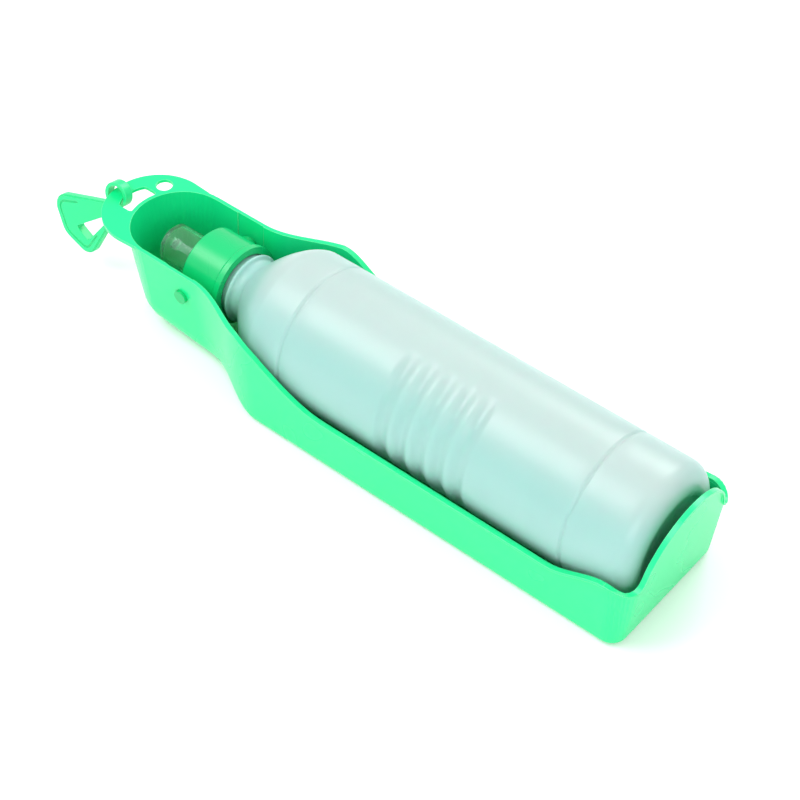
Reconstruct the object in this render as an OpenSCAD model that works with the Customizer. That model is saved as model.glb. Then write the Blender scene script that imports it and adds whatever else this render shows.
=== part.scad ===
// Travel water bottle for a dog: a squeeze bottle that folds out of a drinking trough.
// Millimetres. +X runs along the bottle to its base, +Z is up, and the origin lies on the
// flat base of the trough, straight below the pivot axis of the cap.

/* [Bottle] */
// Outer diameter of the bottle body
bottle_d = 62; // [56:1:70]
// Distance from the pivot axis to the bottle's base
bottle_reach = 235.3; // [190:0.1:270]
// Wall thickness of the bottle
bottle_wall = 1; // [0.6:0.1:1.6]
// Outer diameter of the neck
neck_d = 28.6; // [26:0.2:30]
// Length of the neck behind the cap
neck_show = 9; // [6:0.5:14]
// Diameter of the support ring on the neck
neck_ring_d = 31.6; // [30.5:0.1:33]
// Length of the sloped shoulder
shoulder_len = 22; // [16:1:34]
// Radius of the rounded base edge
base_round = 9; // [3:0.5:11]
// Depth of the dished base
base_dish = 3; // [1:0.5:5]

/* [Bottle grip] */
// Number of grip grooves round the body
grip_grooves = 5; // [3:1:7]
// Distance between grip grooves
grip_pitch = 9.5; // [7:0.5:12]
// Depth of each grip groove
grip_depth = 1.1; // [0.5:0.1:1.8]
// Distance from the pivot axis to the first grip groove
grip_start = 117; // [100:1:130]
// Width of the two narrow ring grooves
ring_groove_w = 2.6; // [1.5:0.1:4]
// Depth of the two narrow ring grooves
ring_groove_depth = 0.8; // [0.4:0.1:1.4]
// Distance from the end of the shoulder to the front ring groove
front_groove_gap = 15.5; // [10:0.5:20]
// Distance from the base to the rear ring groove
rear_groove_gap = 30; // [16:1:40]

/* [Cap] */
// Wall thickness of the cap round the neck
cap_wall = 2.6; // [1.8:0.1:4]
// Length of the cap
cap_len = 21.5; // [18:0.5:26]
// Distance from the cap's front face to the pivot axis
cap_nose = 5.5; // [5:0.5:7]
// Thickness of the cap's front wall
cap_front = 2.5; // [2:0.1:3.5]
// Width of the flange at the rear of the cap
cap_flange_w = 2.6; // [1.5:0.1:4]
// How far that flange stands out from the cap
cap_flange_out = 0.7; // [0.3:0.1:1.2]
// Radial clearance between the cap and the neck
cap_neck_gap = 0.4; // [0.3:0.05:0.6]
// Thickness of the sealing ring in the cap
gasket_t = 1.2; // [0.8:0.1:2]

/* [Pivot] */
// Diameter of the two pivot pins
pin_d = 6.2; // [4:0.1:7]
// Radial running clearance of the pins in the trough
pin_gap = 0.06; // [0.02:0.01:0.1]
// How far the pins stand out of the trough's walls
pin_proud = 1.5; // [0.8:0.1:3]
// Diameter of the shoulder behind each pin
boss_d = 9.4; // [7.8:0.2:12]

/* [Spout] */
// Outer diameter of the clear spout
spout_d = 18.6; // [16:0.2:20]
// How far the spout stands out of the cap
spout_out = 21.2; // [14:0.2:22]
// Wall thickness of the spout
spout_wall = 1.5; // [1.2:0.1:2]
// Diameter of the hole in the spout's tip
orifice_d = 5.2; // [4:0.2:8]
// How far the spout pulls out to open
spout_travel = 2.5; // [1.5:0.1:2.8]
// Clearance round the sliding spout
spout_gap = 0.3; // [0.2:0.05:0.4]
// Thickness of the sealing ring on the spout
seal_t = 1.5; // [1:0.1:1.8]

/* [Trough] */
// Wall thickness of the trough
tray_wall = 1.4; // [1.2:0.1:2.2]
// Clearance between the bottle and the trough's floor
floor_gap = 0.8; // [0.4:0.1:2]
// Clearance between the bottle and each side wall
side_gap = 2.4; // [1.2:0.1:4]
// Clearance between the bottle's base and the end wall, where they come closest
end_gap = 0.8; // [0.6:0.1:3]
// Clearance between the cap and each wall of the narrow head
head_gap = 3.3; // [2.4:0.1:5]
// Draft of the side walls beside the bottle, in degrees
side_draft = 1.5; // [0.5:0.25:3]
// Draft of the walls round the head, in degrees
head_draft = 3.5; // [1:0.25:5]
// Draft of the wall at the head's round end, in degrees
bowl_draft = 8.5; // [3:0.25:10]
// Draft of the end wall, in degrees
end_draft = 6; // [1:0.5:8]
// Radius of the two upright corners at the tail
corner_r = 7; // [4:0.5:12]
// Radius along the bottom edge of the tail
tail_fillet = 3; // [2:0.25:6]
// Radius along the bottom edge of the head's sides
head_fillet = 10; // [6:0.5:12]
// How much fuller the bottom edge is in the middle of the waist
waist_round = 6; // [0:0.5:7]
// Radius of the keel where the head's sides meet its round end
bowl_fillet = 15; // [12:0.5:18]
// Radius of the keel under the end of the head
keel_fillet = 18; // [12:0.5:20]
// Distance from the pivot axis to the centre of the round head
head_back = 21; // [18:0.5:30]
// Distance from the pivot axis to the start of the waist
waist_start = 7; // [4:1:14]
// Length of the waist's S-curve
waist_len = 44; // [36:1:50]

/* [Trough rim] */
// Height of the rim round the head
head_rim = 46.8; // [44:0.2:54]
// Height of the low rim beside the bottle
side_rim = 26.4; // [20:0.2:34]
// Height of the small rise before the tail
tail_rim = 35.8; // [34:0.2:40]
// Height of the dip at the tail corners
corner_rim = 33.5; // [30:0.2:36]
// Radius of the arch in the end wall
arch_r = 26; // [22:0.5:28]
// Radius of the curve from the arch into each tail corner
arch_fillet = 6; // [3:0.5:8]
// How far the lip stands out round the head
head_lip = 0.3; // [0.2:0.1:1]
// How far the lip stands out beside the bottle
side_lip = 0.9; // [0.4:0.1:1.6]
// Height of the lip
lip_h = 1.35; // [1.05:0.1:2.45]
// Width of the shallow guides that lead the pins in
guide_w = 15; // [12:0.5:20]
// Depth of those guides
guide_depth = 0.3; // [0.2:0.1:0.7]

/* [Hanging tab] */
// Thickness of the tab
tab_t = 1.5; // [1.2:0.1:2.4]
// Radius of the tab's round end
tab_r = 23.4; // [23:0.2:28]
// How far the tab reaches past the head's wall
tab_reach = 15.3; // [14:0.1:20]
// Width of the strip that the hook's ring goes round
strip_w = 6.5; // [5:0.1:8]
// Radius of the slot's outer edge
slot_r = 14; // [12:0.5:18]
// Half the length of the slot
slot_half = 8; // [7:0.1:9.8]
// Diameter of the round hole in the tab
hole_d = 7.4; // [4:0.2:8]
// Distance of that hole from the middle line
hole_y = 14; // [13:0.1:15]

/* [Hook] */
// Clearance between the hook's ring and the strip
ring_gap = 1.1; // [0.8:0.05:1.8]
// Thickness of the hook's ring
ring_t = 1.6; // [1.2:0.1:2.2]
// Width of the hook's ring
ring_w = 4.4; // [4.2:0.2:7]
// Thickness of the hook's plate
hook_t = 4.4; // [3:0.2:5]
// Distance from the ring's centre to the middle of the outer side
hook_reach = 40.4; // [32:1:44]
// Width of the hook across its two far corners
hook_w = 29; // [26:0.2:40]
// Width of the hook next to its ring
hook_root_w = 6; // [4.4:0.2:8]
// Depth of the groove along the outer side of the hook's faces
groove_d = 0.6; // [0.3:0.1:0.9]

/* [Hidden] */
$fn = 64;
cut = 1;
tiny = 0.01;
green = [0.13, 0.86, 0.5];
cap_green = [0.1, 0.84, 0.47];
milk = [0.8, 0.94, 0.92, 0.8];
clear = [0.85, 0.95, 0.92, 0.5];
silicone = [0.93, 0.95, 0.95];

// Axis of the bottle and of the pivot
bottle_r = bottle_d / 2;
axis_z = tray_wall + floor_gap + bottle_r;

// Cap, from its front face to its rear
cap_inner_r = neck_d / 2 + cap_neck_gap;
cap_r = cap_inner_r + cap_wall;
cap_x0 = -cap_nose;
cap_x1 = cap_x0 + cap_len;
seat_x = cap_x0 + cap_front;
stem_flange_t = 1.2;
gasket_x = seat_x + stem_flange_t;
mouth_gap = 0.2;
mouth_x = gasket_x + gasket_t + mouth_gap;

// Bottle profile stations along X
neck_r = neck_d / 2;
shoulder_x = cap_x1 + neck_show;
body_x = shoulder_x + shoulder_len;
front_groove_x = body_x + front_groove_gap;
rear_groove_x = bottle_reach - rear_groove_gap;
neck_ring_x = cap_x1 + 2;
neck_ring_w = 2.4;

function smooth(t) = t <= 0 ? 0 : t >= 1 ? 1 : t * t * (3 - 2 * t);

// Points of the body's outer line, as [radius, x]
function shoulder_line(r0, r1) = [
    for (i = [0 : 12])
        let (u = i / 12)
            [r0 + (r1 - r0) * (1 - pow(1 - u, 1.5)), shoulder_x + shoulder_len * u]
];
function ring_groove(x, r, depth) = [
    [r, x - ring_groove_w / 2],
    [r - depth, x - ring_groove_w / 6],
    [r - depth, x + ring_groove_w / 6],
    [r, x + ring_groove_w / 2]
];
grip_steps = 8;
grip_x0 = grip_start - grip_pitch / 2;
function grip_line(r) = [
    for (i = [0 : grip_grooves * grip_steps])
        [
            r - grip_depth * (1 - cos(360 * i / grip_steps)) / 2,
            grip_x0 + i * grip_pitch / grip_steps
        ]
];
function base_line(r, x_end, round_r) = [
    for (i = [0 : 8])
        let (a = 90 * i / 8)
            [r - round_r + round_r * cos(a), x_end - round_r + round_r * sin(a)]
];
dish_r = bottle_r - base_round - 2;
function dish_line(r_out, x_end, depth) = [
    for (i = [0 : 6])
        let (a = 90 * i / 6)
            [r_out * cos(a), x_end - depth * sin(a)]
];

// Half widths of the trough where its walls meet its bottom fillets
side_slope = tan(side_draft);
head_slope = tan(head_draft);
bowl_slope = tan(bowl_draft);
end_slope = tan(end_draft);
tail_half = bottle_r + side_gap + tray_wall - side_slope * (side_rim - tail_fillet);
head_half = cap_r + head_gap + tray_wall - head_slope * (axis_z - head_fillet);
head_rim_r = head_half + head_slope * (head_rim - head_fillet);
base_face_z = tray_wall + floor_gap + base_round;
tail_x = bottle_reach + end_gap + tray_wall - end_slope * (base_face_z - tail_fillet);
waist_end = waist_start + waist_len;
arch_top = axis_z + arch_r;
tray_top = max(arch_top, head_rim) + 8;

// Largest keel radius that leaves a flat strip under the head, where the wall has this slope
keel_land = 0.3;
function keel_limit(slope) = (head_rim_r - slope * head_rim - keel_land) / (1 - slope);

// One point of the trough's plan: [x, y, normal x, normal y, fillet radius, wall slope, lip]
corner_steps = 8;
waist_steps = 20;
bowl_steps = 16;
half_plan = concat(
    [[tail_x, 0, 1, 0, tail_fillet, end_slope, side_lip]],
    [
        for (i = [0 : corner_steps])
            let (a = 90 * i / corner_steps)
                [
                    tail_x - corner_r + corner_r * cos(a),
                    tail_half - corner_r + corner_r * sin(a),
                    cos(a),
                    sin(a),
                    tail_fillet,
                    end_slope + (side_slope - end_slope) * smooth(i / corner_steps),
                    side_lip
                ]
    ],
    [
        for (i = [0 : waist_steps])
            let (
                u = 1 - i / waist_steps,
                s = (1 - cos(180 * u)) / 2,
                rise = (tail_half - head_half) * PI * sin(180 * u) / (2 * waist_len),
                norm = sqrt(1 + rise * rise)
            )
                [
                    waist_start + waist_len * u,
                    head_half + (tail_half - head_half) * s,
                    -rise / norm,
                    1 / norm,
                    head_fillet + (tail_fillet - head_fillet) * s + waist_round * sin(180 * s),
                    head_slope + (side_slope - head_slope) * s,
                    head_lip + (side_lip - head_lip) * s
                ]
    ],
    [
        for (i = [0 : bowl_steps])
            let (
                a = 90 + 90 * i / bowl_steps,
                s = sin(90 * i / bowl_steps),
                slope = head_slope + (bowl_slope - head_slope) * s,
                r = min(bowl_fillet + (keel_fillet - bowl_fillet) * s, keel_limit(slope)),
                half = head_rim_r - slope * (head_rim - r)
            )
                [
                    -head_back + half * cos(a),
                    half * sin(a),
                    cos(a),
                    sin(a),
                    r,
                    slope,
                    head_lip
                ]
    ]
);
half_count = len(half_plan);
plan = concat(
    half_plan,
    [
        for (i = [half_count - 2 : -1 : 1])
            let (p = half_plan[i])
                [p[0], -p[1], p[2], -p[3], p[4], p[5], p[6]]
    ]
);
plan_count = len(plan);

// A point of the plan moved out by d, at height z
function plan_point(p, d, z) = [p[0] + p[2] * d, p[1] + p[3] * d, z];

// Rings of the solid that fills the trough, with its wall moved out by grow, and by lip times
// its own lip, and with its floor lifted to floor_z
fillet_steps = 6;
min_fillet = 1;
function hull_rings(grow, floor_z, lip = 0) = concat(
    [
        for (j = [0 : fillet_steps])
            let (a = 90 * j / fillet_steps)
                [
                    for (p = plan)
                        let (r = max(p[4] - floor_z, min_fillet))
                            plan_point(
                                p,
                                grow + lip * p[6] - r * (1 - sin(a)),
                                floor_z + r * (1 - cos(a))
                            )
                ]
    ],
    [
        [
            for (p = plan)
                let (r = max(p[4] - floor_z, min_fillet))
                    plan_point(p, grow + lip * p[6] + p[5] * (tray_top - floor_z - r), tray_top)
        ]
    ]
);

module loft(rings) {
    n = len(rings[0]);
    m = len(rings);
    walls = [
        for (j = [0 : m - 2], i = [0 : n - 1])
            let (a = j * n + i, b = j * n + (i + 1) % n)
                each [[a, a + n, b], [b, a + n, b + n]]
    ];
    bottom = [[for (i = [0 : n - 1]) i]];
    top = [[for (i = [n - 1 : -1 : 0]) (m - 1) * n + i]];
    polyhedron(points = [for (r = rings) each r], faces = concat(bottom, top, walls));
}

// Height of the rim along the sides
side_drop_x = body_x - 5;
side_low_x = side_drop_x + 48;
tail_rise_x = tail_x - 35;
tail_crest_x = tail_x - corner_r + 0.2;
function rim_z(x) =
    head_rim
    - (head_rim - side_rim) * smooth(pow(max(x - side_drop_x, 0) / (side_low_x - side_drop_x), 0.75))
    + (tail_rim - side_rim) * smooth((x - tail_rise_x) / (tail_crest_x - tail_rise_x));
rim_stations = concat(
    [-head_back - 60],
    [for (i = [0 : 18]) side_drop_x + i * (side_low_x - side_drop_x) / 18],
    [for (i = [0 : 9]) tail_rise_x + i * (tail_crest_x - tail_rise_x) / 9]
);

// Height of the rim across the end wall: an arch, a curve into each corner, and the corner
fillet_z = corner_rim + arch_fillet;
fillet_y = sqrt(pow(arch_r + arch_fillet, 2) - pow(fillet_z - axis_z, 2));
arch_half = fillet_y * arch_r / (arch_r + arch_fillet);
arch_steps = 20;
corner_steps_y = 6;
tail_edge = bottle_r + side_gap + tray_wall + side_slope * (tail_rim - side_rim) + side_lip;
corner_curl = (tail_rim - corner_rim + 0.05) / pow(tail_edge - fillet_y, 2);
function arch_z(y) =
    abs(y) < arch_half
        ? axis_z + sqrt(pow(arch_r, 2) - y * y)
        : abs(y) < fillet_y
            ? fillet_z - sqrt(pow(arch_fillet, 2) - pow(abs(y) - fillet_y, 2))
            : corner_rim + corner_curl * pow(abs(y) - fillet_y, 2);
half_arch = concat(
    [for (i = [0 : arch_steps]) arch_half * sin(90 * i / arch_steps)],
    [for (i = [1 : corner_steps_y]) arch_half + (fillet_y - arch_half) * i / corner_steps_y],
    [for (i = [1 : 8]) fillet_y + i]
);
arch_count = len(half_arch);
arch_stations = concat(
    [for (i = [arch_count - 1 : -1 : 1]) -half_arch[i]],
    half_arch
);

// Everything above the rim, lowered by drop
module above_rim(drop) {
    far = tray_top + 20;
    translate([0, tail_half + 20, -drop])
        rotate([90, 0, 0])
            linear_extrude(height = 2 * tail_half + 40)
                polygon(concat(
                    [for (x = rim_stations) [x, rim_z(x)]],
                    [[tail_crest_x, far], [-head_back - 60, far]]
                ));
    translate([tail_crest_x - 0.6, 0, -drop])
        rotate([90, 0, 90])
            linear_extrude(height = corner_r + 30)
                polygon(concat(
                    [for (y = arch_stations) [y, arch_z(y)]],
                    [[fillet_y + 8, far], [-fillet_y - 8, far]]
                ));
}

// Outer radius of the head at its rim, and the tab that goes on from it
tab_tip_x = -head_back - head_rim_r - tab_reach;
tab_x = tab_tip_x + tab_r;
tab_z = head_rim - tab_t;
slot_tip_x = tab_tip_x + strip_w;
slot_x = slot_tip_x + slot_r;
slot_inner_r = head_rim_r - 0.4;
slot_corner_r = 2;
hole_land = 0.35;
hole_reach = head_rim_r + head_lip + hole_land + hole_d / 2;
hole_x = -head_back - sqrt(pow(hole_reach, 2) - pow(hole_y, 2));
tab_blend_x = tab_x + 10;

module tab_plan() {
    difference() {
        union() {
            translate([tab_x, 0]) circle(r = tab_r, $fn = 96);
            polygon([
                [tab_x, tab_r],
                [tab_x, -tab_r],
                [tab_blend_x, -head_rim_r],
                [tab_blend_x, head_rim_r]
            ]);
        }
        offset(r = slot_corner_r)
            offset(delta = -slot_corner_r)
                difference() {
                    intersection() {
                        translate([slot_x, 0]) circle(r = slot_r);
                        translate([slot_x - slot_r - 1, -slot_half])
                            square([slot_r + 20, 2 * slot_half]);
                    }
                    translate([-head_back, 0]) circle(r = slot_inner_r, $fn = 96);
                }
    }
}

// The trough's thin shell, with its lip, its tab and the guides for the pins, all as one mesh
module tray_shell() {
    resize([0, 0, 0])
        difference() {
            union() {
                loft(hull_rings(0, 0));
                intersection() {
                    loft(hull_rings(0, 0, 1));
                    above_rim(lip_h);
                }
                translate([0, 0, tab_z]) linear_extrude(height = tab_t + cut) tab_plan();
            }
            loft(hull_rings(-tray_wall, tray_wall));
            above_rim(0);
            intersection() {
                loft(hull_rings(guide_depth - tray_wall, tray_wall));
                translate([-guide_w / 2, -head_half - 10, axis_z - guide_w / 2])
                    cube([guide_w, 2 * head_half + 20, tray_top - axis_z]);
            }
        }
}

// Trough: one thin moulding with a boat-shaped head, a waist and a box-shaped tail
module tray() {
    color(green)
        difference() {
            tray_shell();
            translate([0, 0, axis_z])
                rotate([90, 0, 0])
                    cylinder(h = 2 * head_half + 20, r = pin_d / 2 + pin_gap, center = true);
            translate([hole_x, hole_y, tab_z - cut]) cylinder(h = tab_t + 2 * cut, d = hole_d);
        }
}

// Turns a profile of [radius, x] points round the bottle's axis
module turned(profile) {
    translate([0, 0, axis_z])
        rotate([0, 90, 0])
            rotate_extrude($fn = 96)
                polygon(profile);
}

// Bottle: a thin blown shell, open at the neck
module bottle() {
    r_in = bottle_r - bottle_wall;
    neck_in = neck_r - 1.4;
    x_in = bottle_reach - bottle_wall;
    color(milk)
        turned(concat(
            [[neck_in, mouth_x], [neck_r, mouth_x], [neck_r, neck_ring_x]],
            [[neck_ring_d / 2, neck_ring_x + 0.4]],
            [[neck_ring_d / 2, neck_ring_x + neck_ring_w - 0.4], [neck_r, neck_ring_x + neck_ring_w]],
            shoulder_line(neck_r, bottle_r),
            ring_groove(front_groove_x, bottle_r, ring_groove_depth),
            grip_line(bottle_r),
            ring_groove(rear_groove_x, bottle_r, ring_groove_depth),
            base_line(bottle_r, bottle_reach, base_round),
            dish_line(dish_r, bottle_reach, base_dish),
            [[0, bottle_reach - base_dish - bottle_wall]],
            [for (i = [6 : -1 : 0]) dish_line(dish_r, x_in, base_dish)[i]],
            [for (i = [8 : -1 : 0]) base_line(r_in, x_in, base_round - bottle_wall)[i]],
            [for (i = [3 : -1 : 0]) ring_groove(rear_groove_x, r_in, ring_groove_depth)[i]],
            [for (i = [grip_grooves * grip_steps : -1 : 0]) grip_line(r_in)[i]],
            [for (i = [3 : -1 : 0]) ring_groove(front_groove_x, r_in, ring_groove_depth)[i]],
            [for (i = [12 : -1 : 0]) shoulder_line(neck_in, r_in)[i]]
        ));
}

// Cap: a screw cap whose two moulded pins hang in the trough's walls
wall_y = head_half + head_slope * (axis_z - head_fillet);
boss_y = wall_y - tray_wall - 0.35 - head_slope * boss_d / 2;
pin_y = wall_y + pin_proud;
spout_r = spout_d / 2;
module cap() {
    edge = 0.8;
    color(cap_green)
        difference() {
            union() {
                turned([
                    [0, cap_x0],
                    [cap_r - edge, cap_x0],
                    [cap_r, cap_x0 + edge],
                    [cap_r, cap_x1 - cap_flange_w - edge],
                    [cap_r + cap_flange_out, cap_x1 - cap_flange_w],
                    [cap_r + cap_flange_out, cap_x1],
                    [0, cap_x1]
                ]);
                translate([0, 0, axis_z])
                    rotate([90, 0, 0])
                        cylinder(h = 2 * boss_y, d = boss_d, center = true);
                translate([0, 0, axis_z])
                    rotate([90, 0, 0])
                        cylinder(h = 2 * pin_y, d = pin_d, center = true);
            }
            turned([
                [0, seat_x],
                [cap_inner_r, seat_x],
                [cap_inner_r, cap_x1 + cut],
                [0, cap_x1 + cut]
            ]);
            turned([
                [0, cap_x0 - cut],
                [spout_r + spout_gap, cap_x0 - cut],
                [spout_r + spout_gap, seat_x + cut],
                [0, seat_x + cut]
            ]);
        }
}

// Sealing ring between the valve stem's flange and the mouth of the neck
module cap_gasket() {
    color(silicone)
        turned([
            [neck_r - 1.9, gasket_x],
            [neck_r, gasket_x],
            [neck_r, gasket_x + gasket_t],
            [neck_r - 1.9, gasket_x + gasket_t]
        ]);
}

// Valve stem: a flange and sleeve clamped in the cap, with a plug that shuts the spout's tip
spout_x0 = cap_x0 - spout_out;
tip_t = 2;
orifice_r = orifice_d / 2;
root_len = 3.4;
root_x = seat_x + spout_travel + 0.8;
root_r = spout_r + 1.3;
groove_t = seal_t - spout_gap + 0.15;
sleeve_r = root_r + spout_gap;
sleeve_t = 0.9;
sleeve_x1 = root_x + root_len + 5;
spoke_t = 1.4;
spoke_w = 2.4;
stem_r = orifice_r - 0.8;
plug_gap = 0.1;
module valve_stem() {
    plug_len = tip_t + 1.2;
    color(silicone) {
        turned([
            [sleeve_r, seat_x],
            [cap_inner_r - 0.1, seat_x],
            [cap_inner_r - 0.1, gasket_x],
            [sleeve_r + sleeve_t, gasket_x],
            [sleeve_r + sleeve_t, sleeve_x1],
            [sleeve_r, sleeve_x1]
        ]);
        turned([
            [0, spout_x0 + 0.6],
            [orifice_r - plug_gap - 0.5, spout_x0 + 0.6],
            [orifice_r - plug_gap, spout_x0 + 1.1],
            [orifice_r - plug_gap, spout_x0 + plug_len],
            [stem_r, spout_x0 + plug_len + 1],
            [stem_r, sleeve_x1],
            [0, sleeve_x1]
        ]);
        for (a = [0 : 120 : 240])
            translate([sleeve_x1 - spoke_w - 0.4, 0, axis_z])
                rotate([a, 0, 0])
                    translate([0, -spoke_t / 2, stem_r / 2])
                        cube([spoke_w, spoke_t, sleeve_r + sleeve_t / 2 - stem_r / 2]);
    }
}

// Spout: a clear tube with a small hole in its tip and a grooved root
module spout() {
    edge = 1;
    groove_x = root_x + (root_len - seal_t) / 2;
    bore_r = spout_r - spout_wall;
    color(clear)
        turned([
            [orifice_r, spout_x0],
            [spout_r - edge, spout_x0],
            [spout_r, spout_x0 + edge],
            [spout_r, root_x],
            [root_r, root_x],
            [root_r, groove_x - 0.1],
            [root_r - groove_t, groove_x - 0.1],
            [root_r - groove_t, groove_x + seal_t + 0.1],
            [root_r, groove_x + seal_t + 0.1],
            [root_r, root_x + root_len],
            [bore_r, root_x + root_len],
            [bore_r, spout_x0 + tip_t],
            [orifice_r, spout_x0 + tip_t]
        ]);
}

// Sealing ring in the groove of the spout's root
module spout_seal() {
    seal_x = root_x + root_len / 2;
    section_r = seal_t / 2;
    ring_r = sleeve_r - section_r - 0.05;
    color([0.82, 0.84, 0.84])
        translate([0, 0, axis_z])
            rotate([0, 90, 0])
                translate([0, 0, seal_x])
                    rotate_extrude($fn = 64)
                        translate([ring_r, 0])
                            circle(r = section_r, $fn = 24);
}

// Hook: a flat moulding, with a ring round the tab's strip and a triangular loop
hook_yaw = 5;
hook_lean = 15;
hook_drop = 48;
ring_in = strip_w / 2 + ring_gap;
ring_out = ring_in + ring_t;
hook_y = -2.4;
hook_x = tab_tip_x + tab_r - sqrt(pow(tab_r, 2) - pow(hook_y, 2)) + strip_w / 2 - 0.15;
hook_z = head_rim - tab_t / 2 + 0.2;
corner_r_hook = 6.2;
side_r = 9.5;
root_x_hook = 7.3;
root_y_hook = 3.8;

// The triangle's outline, moved in by inset; its middle line runs along X from the ring
module hook_outline(inset) {
    corner_x = hook_reach - 8.9;
    corner_y = hook_w / 2 - corner_r_hook;
    hull() {
        translate([root_x_hook, root_y_hook]) circle(r = hook_root_w / 2 - inset / 2);
        translate([corner_x, corner_y]) circle(r = corner_r_hook - inset);
        translate([corner_x, -corner_y]) circle(r = corner_r_hook - inset);
        translate([hook_reach - side_r, 0]) circle(r = side_r - inset);
    }
}

// The window in the triangle, nearer to its lower side
module hook_window() {
    window_r = 1.1;
    hull() {
        translate([12.4, 6]) circle(r = window_r);
        translate([hook_reach - 9.8, 2.2]) circle(r = window_r);
        translate([hook_reach - 11, hook_w / 2 - 6.4]) circle(r = window_r);
    }
}

// Groove that follows the outer side on both faces
module hook_groove() {
    border_w = 2.4;
    groove_w = 1.1;
    intersection() {
        difference() {
            hook_outline(border_w);
            hook_outline(border_w + groove_w);
        }
        translate([hook_reach - 17, -hook_w / 2]) square([20, hook_w]);
    }
}

module hook() {
    edge = 0.8;
    color(green)
        translate([hook_x, hook_y, hook_z])
            rotate([0, 0, hook_yaw])
                rotate([-hook_lean, 0, 0])
                    rotate([90, 180 - hook_drop, 0])
                        difference() {
                            union() {
                                cylinder(h = ring_w, r = ring_out, center = true);
                                translate([0, 0, -hook_t / 2])
                                    linear_extrude(height = hook_t) hook_outline(edge);
                                translate([0, 0, -hook_t / 2 + edge])
                                    linear_extrude(height = hook_t - 2 * edge) hook_outline(0);
                            }
                            cylinder(h = ring_w + 2 * cut, r = ring_in, center = true);
                            translate([0, 0, -hook_t]) linear_extrude(height = 2 * hook_t) hook_window();
                            translate([0, 0, hook_t / 2 - groove_d])
                                linear_extrude(height = hook_t) hook_groove();
                            translate([0, 0, -1.5 * hook_t + groove_d])
                                linear_extrude(height = hook_t) hook_groove();
                        }
}

tray();
bottle();
cap();
cap_gasket();
valve_stem();
spout();
spout_seal();
hook();
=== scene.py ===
import bmesh
import bpy
import math
from mathutils import Matrix, Vector


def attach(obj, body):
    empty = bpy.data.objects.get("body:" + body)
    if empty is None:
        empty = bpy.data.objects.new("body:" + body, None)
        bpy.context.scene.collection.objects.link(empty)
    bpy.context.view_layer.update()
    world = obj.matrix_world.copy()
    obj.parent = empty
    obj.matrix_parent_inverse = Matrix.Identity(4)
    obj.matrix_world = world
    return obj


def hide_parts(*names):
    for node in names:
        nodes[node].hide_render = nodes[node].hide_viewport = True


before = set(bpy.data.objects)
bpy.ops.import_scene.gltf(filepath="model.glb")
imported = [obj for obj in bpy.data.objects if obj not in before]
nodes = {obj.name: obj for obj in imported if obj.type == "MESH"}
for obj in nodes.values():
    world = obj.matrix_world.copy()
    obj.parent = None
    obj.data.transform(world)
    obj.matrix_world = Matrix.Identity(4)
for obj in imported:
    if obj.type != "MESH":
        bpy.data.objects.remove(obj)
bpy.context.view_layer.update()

# One millimetre, in metres
MM = 0.001


def add(name, data):
    """An object in the scene with the given mesh, light or camera."""
    obj = bpy.data.objects.new(name, data)
    bpy.context.scene.collection.objects.link(obj)
    return obj


# ---------- materials ----------
# The part of a noise's range that most of its values lie in
NOISE_ENDS = (0.3, 0.7)
# Cosine between the rounded and the plain normal, on a sharp edge and on a face
EDGE_ENDS = (0.70, 0.93)
BEVEL_SAMPLES = 8
# Noises for the slow changes of colour and of gloss
CLOUD_SCALE, CLOUD_DETAIL = 14.0, 2.0
GLOSS_SCALE, GLOSS_DETAIL = 35.0, 1.0
# A painted highlight along a sharp edge is this many times as wide as the rounding
HIGHLIGHT_REACH = 1.5
# Heights between which the colour turns into that of the top, a paler painted light, in metres
LIT_TOP_FROM, LIT_TOP_TO = 0.05, 0.068
PLASTIC_IOR = 1.46
# How far light spreads under the skin, in metres, and the share of it for each colour
SSS_DEPTH, SSS_SHARES = 0.003, (0.6, 1.0, 0.8)


def new_material(name):
    m = bpy.data.materials.new(name)
    m.use_nodes = True
    nt = m.node_tree
    return m, nt, nt.nodes["Principled BSDF"]


def coords(nt):
    return nt.nodes.new("ShaderNodeTexCoord").outputs["Object"]


def noise(nt, vec, scale, detail):
    n = nt.nodes.new("ShaderNodeTexNoise")
    n.inputs["Scale"].default_value = scale
    n.inputs["Detail"].default_value = detail
    nt.links.new(vec, n.inputs["Vector"])
    return n.outputs["Fac"]


def ramp(nt, fac, low, high, ends=NOISE_ENDS):
    """The colour low up to the first of ends, turning into high at the second."""
    r = nt.nodes.new("ShaderNodeValToRGB")
    for element, place, colour in zip(r.color_ramp.elements, ends, (low, high)):
        element.position = place
        element.color = (*colour, 1.0)
    nt.links.new(fac, r.inputs["Fac"])
    return r.outputs["Color"]


def grey(v):
    return (v, v, v)


def rounded(nt, radius):
    """A normal that rounds the sharp edges of a moulding."""
    b = nt.nodes.new("ShaderNodeBevel")
    b.samples = BEVEL_SAMPLES
    b.inputs["Radius"].default_value = radius
    return b.outputs["Normal"]


def edge_highlight_mask(nt, normal):
    """One on a sharp edge, nought on a face: the mask of the painted edge highlight."""
    face = nt.nodes.new("ShaderNodeNewGeometry").outputs["Normal"]
    dot = nt.nodes.new("ShaderNodeVectorMath")
    dot.operation = "DOT_PRODUCT"
    nt.links.new(normal, dot.inputs[0])
    nt.links.new(face, dot.inputs[1])
    return ramp(nt, dot.outputs["Value"], grey(1.0), grey(0.0), EDGE_ENDS)


def mixed(nt, factor, under, over):
    """The colour under, turned into the plain colour over where the factor is one."""
    mix = nt.nodes.new("ShaderNodeMix")
    mix.data_type = "RGBA"
    socket = {i.identifier: i for i in mix.inputs}
    socket["B_Color"].default_value = (*over, 1.0)
    nt.links.new(factor, socket["Factor_Float"])
    nt.links.new(under, socket["A_Color"])
    return {o.identifier: o for o in mix.outputs}["Result_Color"]


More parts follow.
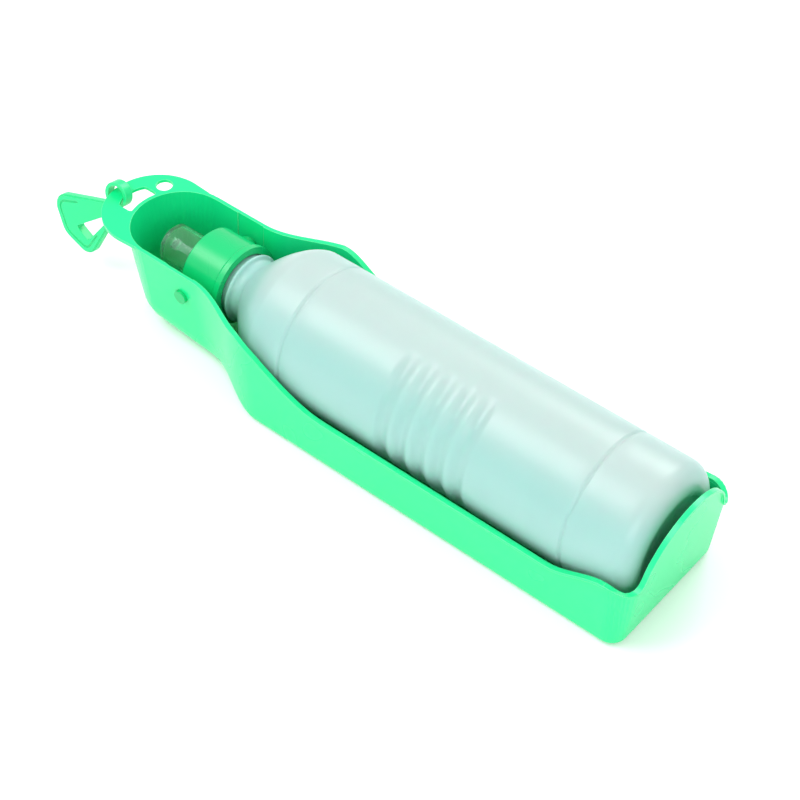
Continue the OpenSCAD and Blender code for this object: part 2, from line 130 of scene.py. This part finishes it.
def height(nt, vec, low, high):
    """Nought below the height low and one above the height high, in metres."""
    split = nt.nodes.new("ShaderNodeSeparateXYZ")
    span = nt.nodes.new("ShaderNodeMapRange")
    span.interpolation_type = "SMOOTHSTEP"
    span.inputs["From Min"].default_value = low
    span.inputs["From Max"].default_value = high
    nt.links.new(vec, split.inputs["Vector"])
    nt.links.new(split.outputs["Z"], span.inputs["Value"])
    return span.outputs["Result"]


def moulded(name, base, deep, rough=(0.24, 0.28), edge=0.0004, sss=0.0, edge_highlight=None, top=None):
    """Smooth moulded plastic, with slow changes of colour and gloss and with rounded edges.

    The edge colour, where given, is painted on its sharp edges as a highlight, and the top colour high
    up on it as painted light falling from above.
    """
    m, nt, bsdf = new_material(name)
    vec = coords(nt)
    cloud = noise(nt, vec, CLOUD_SCALE, CLOUD_DETAIL)
    colour = ramp(nt, cloud, deep, base)
    # Painted highlight: a paler colour along the sharp edges, in place of the glint of light on them
    if edge_highlight:
        colour = mixed(nt, edge_highlight_mask(nt, rounded(nt, edge * HIGHLIGHT_REACH)), colour, edge_highlight)
    # Painted light: a paler colour high up, where the light falls on the top
    if top:
        colour = mixed(nt, height(nt, vec, LIT_TOP_FROM, LIT_TOP_TO), colour, top)
    nt.links.new(colour, bsdf.inputs["Base Color"])
    gloss = noise(nt, vec, GLOSS_SCALE, GLOSS_DETAIL)
    shine = ramp(nt, gloss, grey(rough[0]), grey(rough[1]))
    nt.links.new(shine, bsdf.inputs["Roughness"])
    nt.links.new(rounded(nt, edge), bsdf.inputs["Normal"])
    bsdf.inputs["IOR"].default_value = PLASTIC_IOR
    if sss:
        bsdf.inputs["Subsurface Weight"].default_value = sss
        bsdf.inputs["Subsurface Scale"].default_value = SSS_DEPTH
        bsdf.inputs["Subsurface Radius"].default_value = SSS_SHARES
    return m


def see_through(m, weight, ior):
    bsdf = m.node_tree.nodes["Principled BSDF"]
    bsdf.inputs["Transmission Weight"].default_value = weight
    bsdf.inputs["IOR"].default_value = ior


# The paler edge colours of the trough and the hook are painted highlights
green = moulded(
    "trough_green", (0.006, 0.70, 0.245), (0.004, 0.67, 0.232), edge_highlight=(0.20, 0.90, 0.45)
)
hook_green = moulded(
    "hook_green", (0.010, 0.66, 0.235), (0.006, 0.62, 0.215), rough=(0.3, 0.34),
    edge_highlight=(0.12, 0.84, 0.38)
)
cap_green = moulded("cap_green", (0.003, 0.50, 0.155), (0.002, 0.46, 0.140), rough=(0.26, 0.3))
# The bottle's paler top colour is painted light on its top
milk = moulded(
    "bottle_milk", (0.43, 0.74, 0.68), (0.40, 0.72, 0.66), rough=(0.3, 0.34),
    edge=0.0003, sss=0.5, top=(0.60, 0.74, 0.70)
)
see_through(milk, 0.35, 1.4)
stem = moulded("stem_plastic", (0.74, 0.94, 0.87), (0.70, 0.91, 0.83), rough=(0.2, 0.26))
see_through(stem, 0.85, 1.15)
seal = moulded("seal_rubber", (0.55, 0.58, 0.58), (0.5, 0.53, 0.53), rough=(0.5, 0.65))
clear = moulded(
    "spout_clear", (0.82, 0.98, 0.91), (0.78, 0.96, 0.88), rough=(0.06, 0.10), edge=0.0003
)
see_through(clear, 0.97, 1.16)

paint = {
    "tray": green,
    "hook": hook_green,
    "cap": cap_green,
    "bottle": milk,
    "valve_stem": stem,
    "cap_gasket": seal,
    "spout_seal": seal,
    "spout": clear,
}
for name, material in paint.items():
    mesh = nodes[name].data
    mesh.materials.clear()
    mesh.materials.append(material)


# ---------- shapes ----------
# Points that lie closer together than this, in metres, are one point
WELD = 1e-7


def smooth(t):
    """A soft step from nought to one."""
    t = min(max(t, 0.0), 1.0)
    return t * t * (3.0 - 2.0 * t)


def spread(a, b, n):
    """n even steps from a towards b, without b itself."""
    return [a + (b - a) * i / n for i in range(n)]


def add_skin(name, verts, faces, shade_smooth):
    """A mesh object with its coincident points joined and its faces turned outwards."""
    mesh = bpy.data.meshes.new(name)
    mesh.from_pydata(verts, [], faces)
    skin = bmesh.new()
    skin.from_mesh(mesh)
    bmesh.ops.remove_doubles(skin, verts=skin.verts, dist=WELD)
    bmesh.ops.recalc_face_normals(skin, faces=skin.faces)
    for face in skin.faces:
        face.smooth = shade_smooth
    skin.to_mesh(mesh)
    skin.free()
    return add(name, mesh)


# ---------- bottle, whose finger grooves fade out at two of its sides ----------
AXIS_Z = 33.2
BODY_R = 31.0
WALL = 1.0
NECK_R, NECK_WALL = 14.3, 1.4
MOUTH_X, SHOULDER_X, BODY_X, BASE_X = -0.4, 25.0, 47.0, 235.3
SHOULDER_POWER = 1.5
BEAD_X, BEAD_W, BEAD_OUT, BEAD_POWER = 18.0, 2.4, 1.5, 0.5
BASE_ROUND, DISH_DEPTH, DISH_R = 9.0, 3.0, 20.0
RING_GROOVES, RING_W, RING_DEPTH = (62.5, 205.3), 2.6, 0.55
GRIP_X, GRIP_PITCH, GRIPS, GRIP_DEPTH = 112.25, 9.5, 5, 1.5
# The finger grooves are deepest at this angle above the near side, and opposite to it
GRIP_TURN = math.radians(19)
# Cosine of the angle from there at which they end, and how much more makes them full
GRIP_END, GRIP_FADE = 0.45, 0.35
# Points round the bottle, and the angles of a quarter turn for its base edge and its dish
TURN = 128
ARC_STEPS = 8
QUARTER = [math.pi / 2 * i / ARC_STEPS for i in range(ARC_STEPS + 1)]
# The inner skin's stations stop at least this far from the inside of the base
BASE_CLEAR = 0.01


def bottle_radius(x, phi):
    """Outer radius at x; phi goes round the axis, 0 at the near side and 90 degrees at the top."""
    if x < SHOULDER_X:
        t = (x - BEAD_X) / BEAD_W
        bead = BEAD_OUT * math.sin(math.pi * t) ** BEAD_POWER if 0.0 < t < 1.0 else 0.0
        return NECK_R + bead
    if x < BODY_X:
        u = (x - SHOULDER_X) / (BODY_X - SHOULDER_X)
        return NECK_R + (BODY_R - NECK_R) * (1.0 - (1.0 - u) ** SHOULDER_POWER)
    if x > BASE_X - BASE_ROUND:
        d = (x - BASE_X + BASE_ROUND) / BASE_ROUND
        return BODY_R - BASE_ROUND + BASE_ROUND * math.sqrt(max(1.0 - d * d, 0.0))
    r = BODY_R
    for centre in RING_GROOVES:
        t = abs(x - centre) / (RING_W / 2)
        r -= RING_DEPTH * (1.0 - smooth(t))
    t = (x - GRIP_X) / GRIP_PITCH
    if 0.0 < t < GRIPS:
        side = smooth((abs(math.cos(phi - GRIP_TURN)) - GRIP_END) / GRIP_FADE)
        r -= GRIP_DEPTH * side * (1.0 - math.cos(2.0 * math.pi * t)) / 2.0
    return r


def bottle_bore(x, phi):
    """Inner radius at x."""
    if x < SHOULDER_X:
        return NECK_R - NECK_WALL
    if x > BASE_X - BASE_ROUND:
        d = min((x - BASE_X + BASE_ROUND) / (BASE_ROUND - WALL), 1.0)
        return BODY_R - BASE_ROUND + (BASE_ROUND - WALL) * math.sqrt(1.0 - d * d)
    return bottle_radius(x, phi) - WALL


def bottle_stations():
    """Places along the axis from the mouth to the base, close together where the skin curves."""
    front, rear = RING_GROOVES
    half = RING_W / 2
    round_x = BASE_X - BASE_ROUND
    # Where each stretch starts, and the steps in it
    stretches = [
        (MOUTH_X, 3),
        (BEAD_X, 8),
        (BEAD_X + BEAD_W, 2),
        (SHOULDER_X, 22),
        (BODY_X, 4),
        (front - half, 10),
        (front + half, 10),
        (GRIP_X, 12 * GRIPS),
        (GRIP_X + GRIPS * GRIP_PITCH, 10),
        (rear - half, 10),
        (rear + half, 4),
    ]
    ends = [start for start, steps in stretches[1:]] + [round_x]
    xs = []
    for (start, steps), end in zip(stretches, ends):
        xs += spread(start, end, steps)
    return xs + [round_x + BASE_ROUND * math.sin(a) for a in QUARTER]


def dish_rows(face_x, angles):
    """The hollow of the base, under a face at face_x."""
    return [(face_x - DISH_DEPTH * math.sin(a), lambda phi, a=a: DISH_R * math.cos(a)) for a in angles]


def bottle_rows():
    """The outer skin to the middle of the dished base, then the inner skin back to the mouth."""
    xs = bottle_stations()
    dish = QUARTER[:-1]
    rows = [(x, lambda phi, x=x: bottle_radius(x, phi)) for x in xs]
    rows += dish_rows(BASE_X, dish)
    rows += [(BASE_X - DISH_DEPTH, None), (BASE_X - WALL - DISH_DEPTH, None)]
    rows += dish_rows(BASE_X - WALL, reversed(dish))
    inner = [x for x in reversed(xs) if x < BASE_X - WALL - BASE_CLEAR]
    rows += [(x, lambda phi, x=x: bottle_bore(x, phi)) for x in inner]
    return rows + rows[:1]


def lathe(name, rows):
    """A closed skin from rows of (x, radius function), where None stands for a point on the axis."""
    verts, faces, loops = [], [], []
    for x, radius in rows:
        if radius is None:
            loops.append([len(verts)])
            verts.append((x * MM, 0.0, AXIS_Z * MM))
            continue
        loop = []
        for i in range(TURN):
            phi = 2.0 * math.pi * i / TURN
            r = radius(phi)
            loop.append(len(verts))
            verts.append((x * MM, -r * math.cos(phi) * MM, (AXIS_Z + r * math.sin(phi)) * MM))
        loops.append(loop)
    for a, b in zip(loops, loops[1:]):
        if len(a) == 1 and len(b) == 1:
            continue
        for i in range(TURN):
            j = (i + 1) % TURN
            if len(a) == 1:
                faces.append((a[0], b[i], b[j]))
            elif len(b) == 1:
                faces.append((a[j], a[i], b[0]))
            else:
                faces.append((a[i], b[i], b[j], a[j]))
    return add_skin(name, verts, faces, True)


bottle_skin = lathe("bottle_skin", bottle_rows())
bottle_skin.data.materials.append(milk)
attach(bottle_skin, "bottle_body")
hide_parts("bottle")

# ---------- fillets that level the trough's rim round the two tail corners ----------
# The solid trough's tail: its end and half width where the walls rise from the bottom fillet,
# the radius of its upright corners, and the bottom fillet
TAIL_X, TAIL_HALF, CORNER_R, TAIL_FILLET = 236.64, 34.19, 7.0, 3.0
# Its rim: the height of the rise before a corner and of the dip in it, the distance of the dip
# from the middle plane, and how fast the rim curls up from there
RIM_Z, CORNER_Z, CURL_Y, CURL = 35.8, 33.5, 31.37, 0.1124
# How far its walls lean out for each millimetre of height
SIDE_SLOPE, END_SLOPE = math.tan(math.radians(1.5)), math.tan(math.radians(6))
# How far a bar reaches from the wall's outer face, out over the lip and in over the wall
LIP, RIM_WALL = 0.85, 1.37
# Steps in a quarter turn, the stations that a bar uses of them, and the straight lead before
CORNER_STEPS, CORNER_STATIONS, LEAD = 18, 17, 0.7
# How far a bar's top lies under the lip's edge, and how far its foot goes into the rim
TOP_SINK, FOOT_SINK = 0.03, 0.3


def corner_height(y):
    """Height of the solid trough's rim over the distance y from its middle plane."""
    return CORNER_Z + CURL * max(y - CURL_Y, 0.0) ** 2


def corner_stations():
    """Places round a tail corner, as (x, y, outward x, outward y)."""
    places = []
    centre_x, centre_y = TAIL_X - CORNER_R, TAIL_HALF - CORNER_R
    for i in range(CORNER_STATIONS):
        a = math.radians(90 - 90 * i / CORNER_STEPS)
        nx, ny = math.cos(a), math.sin(a)
        slope = END_SLOPE + (SIDE_SLOPE - END_SLOPE) * smooth(1 - i / CORNER_STEPS)
        reach = CORNER_R + slope * (RIM_Z - TAIL_FILLET)
        places.append((centre_x + reach * nx, centre_y + reach * ny, nx, ny))
    x, y = places[0][:2]
    return [(x - LEAD, y, 0.0, 1.0)] + places


def corner_fillet(name, side):
    """A bar on the rim whose top lies level from the lip's edge to the inner wall."""
    verts, faces = [], []
    for x, y, nx, ny in corner_stations():
        level = corner_height(y + LIP * ny) - TOP_SINK
        for out, top in ((-RIM_WALL, False), (LIP, False), (LIP, True), (-RIM_WALL, True)):
            px, py = x + out * nx, y + out * ny
            z = level if top else min(corner_height(py), level) - FOOT_SINK
            verts.append((px * MM, side * py * MM, z * MM))
    rows = len(verts) // 4
    for k in range(rows - 1):
        for i in range(4):
            a, b = 4 * k + i, 4 * k + (i + 1) % 4
            faces.append((a, b, b + 4, a + 4))
    faces += [(0, 3, 2, 1), tuple(4 * (rows - 1) + i for i in range(4))]
    return add_skin(name, verts, faces, False)


for label, side in (("near", -1), ("far", 1)):
    bar = corner_fillet("rim_corner_" + label, side)
    bar.data.materials.append(green)
    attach(bar, "trough")

# ---------- camera, fitted to the photograph ----------
cam_pos = Vector((465.98, -434.33, 613.69)) * MM
right = Vector((0.766235, 0.642560, 0.0))
up = Vector((-0.464604, 0.554028, 0.690794))
back = Vector((0.443877, -0.529311, 0.723052))
cam_data = bpy.data.cameras.new("camera")
cam_data.sensor_width = 36.0
cam_data.lens = 90.0
cam_data.clip_start = 0.01
cam = add("camera", cam_data)
turned = Matrix((right, up, back)).transposed().to_4x4()
cam.matrix_world = Matrix.Translation(cam_pos) @ turned
bpy.context.scene.camera = cam

# ---------- studio ----------
bpy.context.scene.view_settings.view_transform = "Standard"
# The point that the lights shine at, and the floor's half width and height, in metres
AIM = (0.09, 0.0, 0.03)
FLOOR_HALF, FLOOR_Z = 4.0, -0.0001
FLOOR_SCALE, FLOOR_DETAIL = 2.0, 3.0


def area_light(name, pos, size, power):
    """A round lamp that shines at AIM; the size is in metres and the power in watts."""
    data = bpy.data.lights.new(name, "AREA")
    data.shape = "DISK"
    data.size = size
    data.energy = power
    lamp = add(name, data)
    lamp.location = pos
    lamp.rotation_euler = (Vector(AIM) - Vector(pos)).to_track_quat("-Z", "Y").to_euler()


area_light("key", (-0.5, -0.5, 1.3), 0.9, 12)
area_light("fill", (1.0, -0.9, 0.7), 1.0, 9)
area_light("rim", (0.0, 1.1, 0.9), 0.8, 8.5)

world = bpy.data.worlds.new("studio")
world.use_nodes = True
sky = world.node_tree.nodes["Background"].inputs
sky["Color"].default_value = (1.0, 1.0, 1.0, 1.0)
sky["Strength"].default_value = 0.85
bpy.context.scene.world = world

floor_corners = [(-1, -1), (1, -1), (1, 1), (-1, 1)]
floor_verts = [(x * FLOOR_HALF, y * FLOOR_HALF, 0.0) for x, y in floor_corners]
floor_mesh = bpy.data.meshes.new("floor")
floor_mesh.from_pydata(floor_verts, [], [(0, 1, 2, 3)])
floor = add("floor", floor_mesh)
floor.location = (0.0, 0.0, FLOOR_Z)
floor_white, nt, bsdf = new_material("floor_white")
patches = noise(nt, coords(nt), FLOOR_SCALE, FLOOR_DETAIL)
nt.links.new(ramp(nt, patches, grey(0.9), grey(0.92)), bsdf.inputs["Base Color"])
bsdf.inputs["Roughness"].default_value = 0.6
floor_mesh.materials.append(floor_white)
